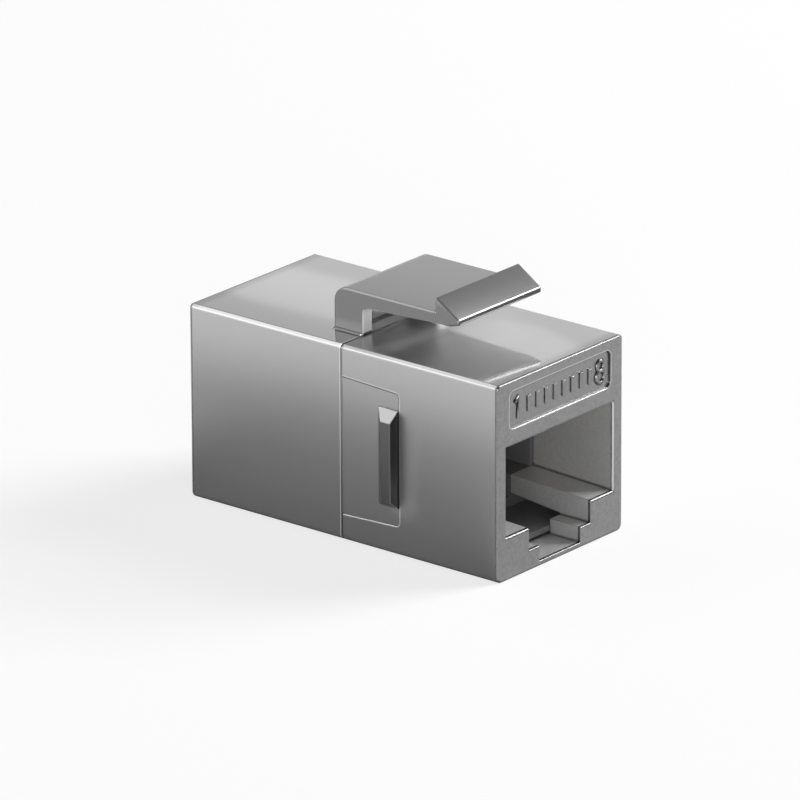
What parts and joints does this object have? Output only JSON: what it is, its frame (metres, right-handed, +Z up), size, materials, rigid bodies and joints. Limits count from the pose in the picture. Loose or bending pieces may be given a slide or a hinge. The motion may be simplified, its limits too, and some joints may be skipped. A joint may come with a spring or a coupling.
{
  "type": "rj45 inline coupler",
  "caption": "Shielded keystone-style feed-through coupler with a modular jack port at each end, a snap latch cast on top and a stop rib on each side.",
  "frame": {"origin": "on the underside, at the middle of the length and width", "axes": "+Y from the front port to the rear port, +Z up towards the snap latch, +X to the right of someone who looks along +Y at the front port"},
  "size_m": [0.0164, 0.029, 0.0196],
  "materials": {
    "nickel_plate": "bright nickel plate on a zinc die casting",
    "black_plastic": "moulded, satin",
    "gold_plate": "gold plated spring wire",
    "board_green": "solder mask on glass-fibre board"
  },
  "bodies": {
    "root": {"front_shell": "nickel_plate", "rear_shell": "nickel_plate", "circuit_board": "board_green", "front_insert": "black_plastic", "front_contact_cover": "black_plastic", "front_contact_1": "gold_plate", "front_contact_2": "gold_plate", "front_contact_3": "gold_plate", "front_contact_4": "gold_plate", "front_contact_5": "gold_plate", "front_contact_6": "gold_plate", "front_contact_7": "gold_plate", "front_contact_8": "gold_plate", "rear_insert": "black_plastic", "rear_contact_cover": "black_plastic", "rear_contact_1": "gold_plate", "rear_contact_2": "gold_plate", "rear_contact_3": "gold_plate", "rear_contact_4": "gold_plate", "rear_contact_5": "gold_plate", "rear_contact_6": "gold_plate", "rear_contact_7": "gold_plate", "rear_contact_8": "gold_plate"}
  },
  "joints": []
}
